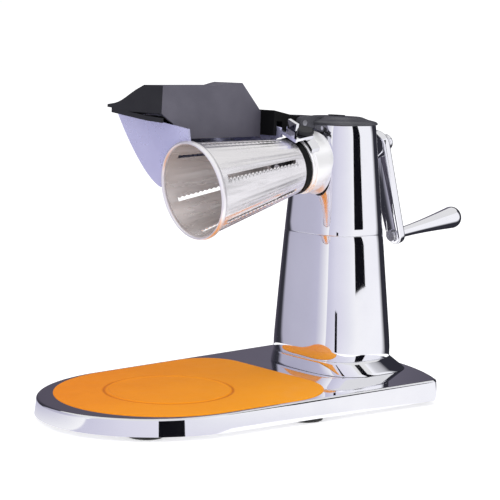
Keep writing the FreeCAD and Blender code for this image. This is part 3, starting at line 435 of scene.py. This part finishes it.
# three-part hollow column, rounded rectangle in plan
column = {
    "x": 0.0681, "power": 3.2, "wall": 0.003, "lip": 0.0005,
    "low": 0.0212, "footTop": 0.033, "split": 0.1413, "top": 0.236,
    "uprightTo": 0.044,      # the lower part's walls stand upright up to here
    # height, half length, half width, shift towards the crank
    "flange": [(0.0212, 0.0470, 0.0610, 0.0080), (0.0250, 0.0434, 0.0556, 0.0044),
               (0.0330, 0.0414, 0.0512, 0.0)],
    "shaft": [(0.0330, 0.0414, 0.0512, 0.0), (0.0760, 0.0390, 0.0481, -0.0008),
              (0.1413, 0.0342, 0.0422, -0.0020), (0.2000, 0.0300, 0.0370, -0.0024),
              (0.2360, 0.0274, 0.0338, -0.0026)],
    "around": 176, "fineSteps": 4001,
    "partGap": 1e-6, "seatGap": 0.0001,
}
# name, node, bottom, top, rings up the wall
columnParts = [("footFlange", "column_foot", "low", "footTop", 8),
               ("columnLower", "column_lower", "footTop", "split", 14),
               ("columnHead", "column_head", "split", "top", 12)]


def columnRing(z, inset=0.0):
    # x = a |cos t|^(2/power), y = b |sin t|^(2/power), spread evenly along the curve;
    # a, b and the shift follow the rows by a straight line in the flange and a parabola above it
    flange = z < column["footTop"]
    rows = np.array(column["flange"] if flange else column["shaft"])
    level = z if flange else max(z, column["uprightTo"])
    power = 1 if flange else 2
    a, b, shift = (np.polyval(np.polyfit(rows[:, 0], rows[:, i], power), level) for i in (1, 2, 3))
    t = np.linspace(0, 2 * np.pi, column["fineSteps"])
    roundness = 2 / column["power"]
    x = (a - inset) * np.sign(np.cos(t)) * np.abs(np.cos(t)) ** roundness
    y = (b - inset) * np.sign(np.sin(t)) * np.abs(np.sin(t)) ** roundness
    run = np.concatenate([[0], np.cumsum(np.hypot(np.diff(x), np.diff(y)))])
    even = np.linspace(0, run[-1], column["around"], endpoint=False)
    return np.column_stack([column["x"] + shift + np.interp(even, run, x), np.interp(even, run, y),
                            np.full(column["around"], z)])


def makeColumn():
    # each part is a wall with a small lip at both ends; the foot's lower end follows the base's slope
    lip = column["lip"]
    slight = 0.3 * lip
    for name, node, bottom, top, steps in columnParts:
        low, high = column[bottom], column[top] - column["partGap"]
        rings = [columnRing(low, lip), columnRing(low + slight, slight)]
        rings += [columnRing(z) for z in np.linspace(low + lip, high - lip, steps)]
        rings += [columnRing(high - slight, slight), columnRing(high, lip)]
        rings += [columnRing(high, column["wall"]), columnRing(low, column["wall"])]
        rings = np.array(rings)
        if node == "column_foot":
            share = (high - rings[..., 2]) / (high - low)
            rings[..., 2] += share * (topHeight(rings[..., 0]) + column["seatGap"] - low)
        piece = ringStack(name, rings, "stand", "chrome", 60.0)
        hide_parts(node)


makeColumn()
print("stage: column made")

# bearing collar on the column's front
collar = {
    "at": 0.1114, "length": 0.026, "radius": 0.026, "bore": 0.0162,
    "step": 0.0012,          # the front ring is this much smaller
    "frontEdge": 0.0014, "ringEnd": 0.0030, "shoulder": 0.0046, "wallFrom": 0.006, "backEdge": 0.001,
}


def makeCollar():
    # profile = rounded front edge, narrow ring, rounded shoulder, straight wall, bore
    radius, step, small, length = collar["radius"], collar["step"], collar["frontEdge"], collar["length"]
    bend = quarter(7)
    front = np.column_stack([radius - step - small + small * np.sin(bend), small * (1 - np.cos(bend))])
    shoulder = np.column_stack([radius - step + step * np.sin(bend),
                                collar["shoulder"] - step * np.cos(bend)])
    profile = np.concatenate([
        [(collar["bore"], 0.0)], front, [(radius - step, collar["ringEnd"])], shoulder,
        [(radius, collar["wallFrom"]), (radius, length - collar["backEdge"]), (radius, length),
         (collar["bore"], length)]])
    piece = turnedPiece("bearingCollar", profile, mouthPoint + collar["at"] * shaftDir, shaftDir, "stand",
                        "collarSatin", around=128, smoothAngle=50.0)
    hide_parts("shaft_collar")


# the crank's handle
handle = {
    "crankAt": 0.212, "crankDrop": 0.087, "crankLean": 18.0,     # where the arm's end is
    "start": 0.0052, "length": 0.077, "thin": 0.0047, "fat": 0.0102, "dome": 0.009,
    "bore": 0.0030, "boreRest": 0.009,     # the bore stops this far from the end
    "frontEdge": 0.0005, "pole": 0.00002,
}


def makeHandle():
    # radius = thin + (fat - thin) * (0.25 s + 0.75 s^2 (1.5 - 0.5 s)) up to the fullest place,
    # then fat * (1 - u^2.5)^0.4 to the end
    thin, fat, length, bore = handle["thin"], handle["fat"], handle["length"], handle["bore"]
    lean = math.radians(handle["crankLean"])
    hub = mouthPoint + handle["crankAt"] * shaftDir
    armEnd = hub + handle["crankDrop"] * np.array([math.sin(lean), 0.0, -math.cos(lean)])
    full, deep = length - handle["dome"], length - handle["boreRest"]
    s = np.linspace(0.02, 1, 30)
    neck = np.column_stack([thin + (fat - thin) * (0.25 * s + 0.75 * s * s * (1.5 - 0.5 * s)), full * s])
    u = np.sin(quarter(12))[1:-1]
    dome = np.column_stack([fat * (1 - u ** 2.5) ** 0.4, full + handle["dome"] * u])
    profile = np.concatenate([
        [(bore, 0.0), (thin - handle["frontEdge"], 0.0), (thin, handle["frontEdge"])], neck, dome,
        [(handle["pole"], length), (handle["pole"], deep), (bore, deep)]])
    piece = turnedPiece("crankHandle", profile, armEnd + handle["start"] * shaftDir, shaftDir, "grip",
                        "chrome", smoothAngle=50.0)
    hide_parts("crank_grip")


makeCollar()
makeHandle()
print("stage: collar and handle made")

# inner pieces shown as they come
keptNodes = {
    "foot_screws": "steel", "column_bolts": "steel", "joint_ring": "castAlloy", "tie_rod": "steel",
    "tie_washer": "steel", "tie_nut": "steel", "spindle_tube": "castAlloy", "front_bush": "bronze",
    "rear_bush": "bronze", "thrust_washer": "bronze", "cap_screws": "steel", "drive_shaft": "steel",
    "drum_rivets": "steel", "grip_spindle": "steel", "pivot_pin": "steel",
}
for name, finish in keptNodes.items():
    nodes[name].data.materials.clear()
    nodes[name].data.materials.append(material[finish])
print("stage: inner pieces finished,", len(keptNodes))

# outer pieces copied with rounded edges: finish and edge width
roundedNodes = {
    "rubber_feet": ("gripRubber", 0.0006), "top_cap": ("capGrey", 0.0007), "rear_boss": ("chrome", 0.0005),
    "drum_hub": ("armBlack", 0.0005), "drum_knob": ("hoodBlack", 0.0006), "crank_arm": ("chrome", 0.0008),
    "crank_nut": ("chrome", 0.0004), "hopper_body": ("hopperSatinPaintedReflection", 0.0),
    "pusher_hood": ("hoodLitGrey", 0.0011), "pusher_block": ("hoodBlack", 0.0008),
    "lock_knob": ("hoodBlack", 0.0006),
}
# how far a hood face must look forward or down to be painted black as shade, and where its hinge arm and the
# hopper's bracket begin
paintLimits = {"forward": -0.6, "down": -0.3, "armFrom": -0.0030, "bracketLap": 0.0012}


# how the copies are joined up, flattened, shaded and bevelled
skinStyle = {"joinWithin": 2e-6, "flatWithin": 0.6, "sharpFrom": 35.0, "bevelFrom": 30.0, "bevelSteps": 2}


def roundedCopy(node, finish, edge):
    # a copy of a CAD node with its loose triangles joined, flat areas whole and edges rounded
    mesh = nodes[node].data.copy()
    mesh.name = node + "Skin"
    work = bmesh.new()
    work.from_mesh(mesh)
    bmesh.ops.remove_doubles(work, verts=work.verts, dist=skinStyle["joinWithin"])
    bmesh.ops.dissolve_limit(work, angle_limit=math.radians(skinStyle["flatWithin"]), verts=work.verts,
                             edges=work.edges)
    work.to_mesh(mesh)
    work.free()
    piece = bpy.data.objects.new(node + "Skin", mesh)
    bpy.context.scene.collection.objects.link(piece)
    mesh.materials.clear()
    mesh.materials.append(material[finish])
    mesh.shade_smooth()
    mesh.set_sharp_from_angle(angle=math.radians(skinStyle["sharpFrom"]))
    if edge > 0:
        bevel = piece.modifiers.new("edges", "BEVEL")
        bevel.width = edge
        bevel.segments = skinStyle["bevelSteps"]
        bevel.limit_method = "ANGLE"
        bevel.angle_limit = math.radians(skinStyle["bevelFrom"])
        bevel.harden_normals = True
        bevel.use_clamp_overlap = True
    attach(piece, bodyOf[node])
    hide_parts(node)
    return piece


skins = {name: roundedCopy(name, finish, edge) for name, (finish, edge) in roundedNodes.items()}


def faceRows(mesh, kind):
    # three numbers for each face: its normal or its center
    values = np.zeros(len(mesh.polygons) * 3, np.float32)
    mesh.polygons.foreach_get(kind, values)
    return values.reshape(-1, 3)


def paintHood():
    # painted light on one plastic: 1 = black shade where a face looks forward or down, 2 = dull black on the
    # hinge arm, 0 = lit grey elsewhere
    mesh = skins["pusher_hood"].data
    mesh.materials.append(material["hoodBlack"])
    mesh.materials.append(material["armBlack"])
    normal, middle = faceRows(mesh, "normal"), faceRows(mesh, "center")
    dark = (normal[:, 0] < paintLimits["forward"]) | (normal[:, 2] < paintLimits["down"])
    tone = np.where(middle[:, 0] > paintLimits["armFrom"], 2, np.where(dark, 1, 0))
    mesh.polygons.foreach_set("material_index", tone.astype(np.int32))


def paintHopper():
    # the bracket behind the drum is bright chrome, the sheet satin metal with a painted lavender reflection
    # in its colour
    mesh = skins["hopper_body"].data
    mesh.materials.append(material["chrome"])
    along = (faceRows(mesh, "center") - mouthPoint) @ shaftDir
    bright = along > shaftLine["drumLength"] - paintLimits["bracketLap"]
    mesh.polygons.foreach_set("material_index", bright.astype(np.int32))


paintHood()
paintHopper()
print("stage: skins made,", len(skins))

# black strip along the hood's front, hanging over the hopper's edge: a dark piece put in the shadowed gap
# there, as painted shade
hoodShadowStrip = {
    "line": [(0.0940, 0.2463), (0.0436, 0.2415), (0.0225, 0.2405)],   # across and up, from the far end
    "tall": 0.0040, "front": -0.1084, "deep": 0.0024,
}


def makeHoodShadowStrip():
    # one square of corners at each point of the line, joined up and closed at both ends
    tall, deep = hoodShadowStrip["tall"], hoodShadowStrip["deep"]
    line = np.array(hoodShadowStrip["line"])
    points = np.zeros((len(line), 4, 3))
    points[..., 0] = hoodShadowStrip["front"] + np.array([0.0, deep, deep, 0.0])
    points[..., 1] = line[:, :1]
    points[..., 2] = line[:, 1:] + np.array([0.0, 0.0, -tall, -tall])
    last = 4 * len(line) - 4
    faces = np.concatenate([gridFaces(len(line), 4, closedColumns=True),
                            [(0, 1, 2, 3), (last + 3, last + 2, last + 1, last)]])
    strip = addPiece("hoodShadowStrip", points.reshape(-1, 3), faces, "pusher", "hoodBlack", 30.0)
    closeUp(strip)


makeHoodShadowStrip()
print("stage: hood strip made")

# bowl mat
bowlMat = {
    "noseX": -0.1169,
    "nose": 0.0907, "side": 0.1237, "halfFront": 0.0889, "halfRear": 0.0939, "bow": 0.0,
    "corner": 0.036, "lowCorner": 0.0536,
    "bowlCentre": (-0.1120, 0.0),
    "above": 0.00062, "thick": 0.0021, "edge": 0.0007,
    "ringRadius": 0.0502, "ringRise": 0.0005, "ringWidth": 0.0014,
    "grooveRadius": 0.0530, "grooveDepth": 0.0006, "grooveWidth": 0.0011,
    "around": 360, "pole": 0.0002,
    "flatTo": 0.045, "fineFrom": 0.0465, "fineTo": 0.058,     # points stand close at the pressed ring
}


def matReach():
    # distance from the bowl's middle to the mat's edge at even angles
    loop = planLoop(bowlMat)
    share = np.arange(8)[:, None, None] / 8
    fine = (loop + share * (np.roll(loop, -1, axis=0) - loop)).reshape(-1, 2)
    fine = fine - np.array(bowlMat["bowlCentre"])
    angle, reach = np.arctan2(fine[:, 1], fine[:, 0]), np.hypot(fine[:, 0], fine[:, 1])
    order = np.argsort(angle)
    even = np.linspace(-np.pi, np.pi, bowlMat["around"], endpoint=False)
    return even, np.interp(even, angle[order], reach[order], period=2 * np.pi)


def matBell(reach, kind):
    # exp(-((r - radius) / width)^2) of the ring or the groove
    return np.exp(-((reach - bowlMat[kind + "Radius"]) / bowlMat[kind + "Width"]) ** 2)


def makeMat():
    # height = the base's top + above + ring bell - groove bell, then a rounded edge down to the underside
    around, edge, fineTo = bowlMat["around"], bowlMat["edge"], bowlMat["fineTo"]
    middleX, middleY = bowlMat["bowlCentre"]
    angle, full = matReach()
    flat = np.concatenate([np.linspace(bowlMat["pole"], bowlMat["flatTo"], 10),
                           np.linspace(bowlMat["fineFrom"], fineTo, 34)])
    spread = np.linspace(0, 1, 24)[1:]
    reach = np.concatenate([np.tile(flat[:, None], (1, around)),
                            fineTo + spread[:, None] * (full - edge - fineTo)[None]])
    rise = bowlMat["ringRise"] * matBell(reach, "ring") - bowlMat["grooveDepth"] * matBell(reach, "groove")
    bend = quarter(6)[1:, None]
    rounded = full - edge + edge * np.sin(bend)
    drop = -edge * (1 - np.cos(bend)) * np.ones((1, around))
    reach = np.concatenate([reach, rounded, full[None], np.full((1, around), bowlMat["pole"])])
    rise = np.concatenate([rise, drop, np.full((2, around), -bowlMat["thick"])])
    x, y = middleX + reach * np.cos(angle), middleY + reach * np.sin(angle)
    piece = ringStack("bowlMat", np.stack([x, y, topHeight(x) + bowlMat["above"] + rise], -1), "stand",
                      "matOrange", 50.0)
    place = np.zeros(len(piece.data.vertices) * 3, np.float32)
    piece.data.vertices.foreach_get("co", place)
    place = place.reshape(-1, 3)
    away = np.hypot(place[:, 0] - middleX, place[:, 1] - middleY)
    # painted shade: the groove's bell at each point, used to darken the mat's colour there
    layer = piece.data.attributes.new("grooveShade", "FLOAT", "POINT")
    layer.data.foreach_set("value", matBell(away, "groove").astype(np.float32))
    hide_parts("base_mat")


makeMat()
print("stage: mat made")

# camera
shot = {"azimuth": -39.697, "elevation": 6.916, "roll": 1.5, "distance": 1.3, "lens": 110.54, "sensor": 36.0,
        "aim": (-0.0291, 0.0, 0.1298)}


def makeCamera():
    # stands at aim + distance * back, where back points from the aim to the camera, then rolls about back
    a, e, r = (math.radians(shot[k]) for k in ("azimuth", "elevation", "roll"))
    back = np.array([math.sin(a) * math.cos(e), -math.cos(a) * math.cos(e), math.sin(e)])
    level = np.array([math.cos(a), math.sin(a), 0.0])
    rise = np.cross(back, level)
    across = math.cos(r) * level + math.sin(r) * rise
    upward = -math.sin(r) * level + math.cos(r) * rise
    lens = bpy.data.cameras.new("camera")
    lens.lens = shot["lens"]
    lens.sensor_width = shot["sensor"]
    camera = bpy.data.objects.new("camera", lens)
    spot = np.array(shot["aim"]) + shot["distance"] * back
    matrix = np.eye(4)
    matrix[:3, 0], matrix[:3, 1], matrix[:3, 2], matrix[:3, 3] = across, upward, back, spot
    camera.matrix_world = Matrix(matrix.tolist())
    bpy.context.scene.collection.objects.link(camera)
    bpy.context.scene.camera = camera


makeCamera()
print("stage: camera made")

# floor, soft light and dark cards
studio = {
    "worldColour": (1.0, 1.0, 1.0), "worldStrength": 1.02,
    "floorColour": (0.66, 0.66, 0.67), "floorGlow": 0.52, "floorSize": 60.0,
    "wallRadius": 3.0, "wallHeight": 2.6, "wallSteps": 96,
    "tableInner": 0.215, "tableLift": 0.0004, "roofTone": 0.80,
    "darkColour": (0.004, 0.004, 0.006), "lampColour": (1.0, 0.99, 0.98),
}
# upright dark cards: start, direction and distance from it, width, low and high edge
darkCards = {
    "cardColumn": ((0.06, -0.04), -57.0, 0.60, 0.20, 0.085, 0.60),
    "cardNose": ((-0.17, -0.085), -106.0, 0.12, 0.066, 0.0, 0.070),
}
# area lamps: power, place, size, turn
lamps = {
    "overhead": (9.0, (-0.3, -0.4, 1.8), 2.2, (0.0, 0.0, 0.0)),
    "frontFill": (5.0, (-0.9, -1.6, 0.9), 1.2, (62.0, 0.0, -30.0)),
}
# brightness of what the bright metal mirrors, by compass angle: (angle, red, green, blue)
surround = [
    (-180, 0.62, 0.61, 0.74), (-150, 0.74, 0.73, 0.84), (-118, 0.80, 0.79, 0.88), (-90, 0.86, 0.86, 0.92),
    (-62, 0.98, 0.98, 1.00), (-32, 0.96, 0.96, 1.00), (-20, 0.03, 0.03, 0.04), (34, 0.03, 0.03, 0.04),
    (44, 0.14, 0.13, 0.17), (62, 0.10, 0.09, 0.12), (96, 0.03, 0.03, 0.04), (106, 0.04, 0.04, 0.05),
    (114, 0.46, 0.45, 0.55), (150, 0.54, 0.53, 0.66), (180, 0.62, 0.61, 0.74),
]


def stageObject(name, points, faces, made, seen=False):
    # a studio surface; an unseen one shows only in reflections
    mesh = bpy.data.meshes.new(name)
    mesh.from_pydata(np.asarray(points, float).tolist(), [], np.asarray(faces).tolist())
    mesh.materials.append(made)
    plane = bpy.data.objects.new(name, mesh)
    bpy.context.scene.collection.objects.link(plane)
    plane.visible_camera = seen
    plane.visible_shadow = seen
    plane.visible_diffuse = seen


def paper(name, colour, glow=0.0):
    # matt paper, with white glow added where wanted
    made = bpy.data.materials.new(name)
    made.use_nodes = True
    shader = made.node_tree.nodes["Principled BSDF"]
    shader.inputs["Base Color"].default_value = (*colour, 1.0)
    shader.inputs["Roughness"].default_value = 0.95
    shader.inputs["Specular IOR Level"].default_value = 0.0
    shader.inputs["Emission Color"].default_value = (1.0, 1.0, 1.0, 1.0)
    shader.inputs["Emission Strength"].default_value = glow
    return made


def surroundPaper():
    # glowing paper whose tone turns with the compass angle round the object
    made = bpy.data.materials.new("surroundPaper")
    made.use_nodes = True
    tree = made.node_tree
    tree.nodes.clear()
    place = tree.nodes.new("ShaderNodeTexCoord")
    turn = tree.nodes.new("ShaderNodeTexGradient")
    turn.gradient_type = "RADIAL"
    ramp = tree.nodes.new("ShaderNodeValToRGB")
    glow = tree.nodes.new("ShaderNodeEmission")
    output = tree.nodes.new("ShaderNodeOutputMaterial")
    stops = ramp.color_ramp.elements
    for i, (angle, red, green, blue) in enumerate(surround):
        share = (angle + 180) / 360
        stop = stops[i] if i < 1 else stops.new(share)
        stop.position = share
        stop.color = (red, green, blue, 1.0)
    tree.links.new(place.outputs["Object"], turn.inputs["Vector"])
    tree.links.new(turn.outputs["Fac"], ramp.inputs["Fac"])
    tree.links.new(ramp.outputs["Color"], glow.inputs["Color"])
    tree.links.new(glow.outputs["Emission"], output.inputs["Surface"])
    return made


def standingCard(name, start, direction, distance, width, low, high, made):
    # middle = start + distance * (cos a, sin a), and the card faces back at start
    a = math.radians(direction)
    middle = np.array(start) + distance * np.array([math.cos(a), math.sin(a)])
    side = np.array([-math.sin(a), math.cos(a)]) * width / 2
    p, q = middle - side, middle + side
    stageObject(name, [(*p, low), (*q, low), (*q, high), (*p, high)], [(0, 1, 2, 3)], made)


def makeFloor():
    # an even white sky and one large glowing square
    world = bpy.data.worlds.new("studioWorld")
    world.use_nodes = True
    sky = world.node_tree.nodes["Background"]
    sky.inputs["Color"].default_value = (*studio["worldColour"], 1.0)
    sky.inputs["Strength"].default_value = studio["worldStrength"]
    bpy.context.scene.world = world
    s = studio["floorSize"] / 2
    stageObject("floor", [(-s, -s, 0), (s, -s, 0), (s, s, 0), (-s, s, 0)], [(0, 1, 2, 3)],
                paper("floorPaper", studio["floorColour"], studio["floorGlow"]), seen=True)


def makeSurround():
    # a wall, a table ring and a roof round the object, and the dark cards
    steps, radius = studio["wallSteps"], studio["wallRadius"]
    tones = surroundPaper()
    a = np.linspace(0, 2 * np.pi, steps, endpoint=False)
    ring = np.stack([np.cos(a), np.sin(a), np.zeros(steps)], 1)
    high, low = np.array([0.0, 0.0, studio["wallHeight"]]), np.array([0.0, 0.0, studio["tableLift"]])
    band = gridFaces(2, steps, closedColumns=True)
    stageObject("surroundWall", np.concatenate([ring * radius, ring * radius + high]), band, tones)
    stageObject("surroundTable", np.concatenate([ring * studio["tableInner"] + low, ring * radius + low]),
                band, tones)
    i = np.arange(steps)
    stageObject("surroundRoof", np.concatenate([high[None], ring * radius + high]),
                np.stack([np.zeros(steps, int), 1 + i, 1 + (i + 1) % steps], 1),
                paper("roofPaper", (0.0, 0.0, 0.0), studio["roofTone"]))
    dark = paper("darkPaper", studio["darkColour"])
    for name, card in darkCards.items():
        standingCard(name, *card, dark)


def makeLamps():
    # soft area lamps that give no mirror image of themselves
    for name, (power, spot, size, turn) in lamps.items():
        lamp = bpy.data.lights.new(name, "AREA")
        lamp.energy = power
        lamp.size = size
        lamp.color = studio["lampColour"]
        holder = bpy.data.objects.new(name, lamp)
        holder.location = spot
        holder.rotation_euler = [math.radians(v) for v in turn]
        holder.visible_camera = False
        holder.visible_glossy = False
        bpy.context.scene.collection.objects.link(holder)


makeFloor()
makeSurround()
makeLamps()
bpy.context.scene.view_settings.view_transform = "Standard"
print("stage: studio made")
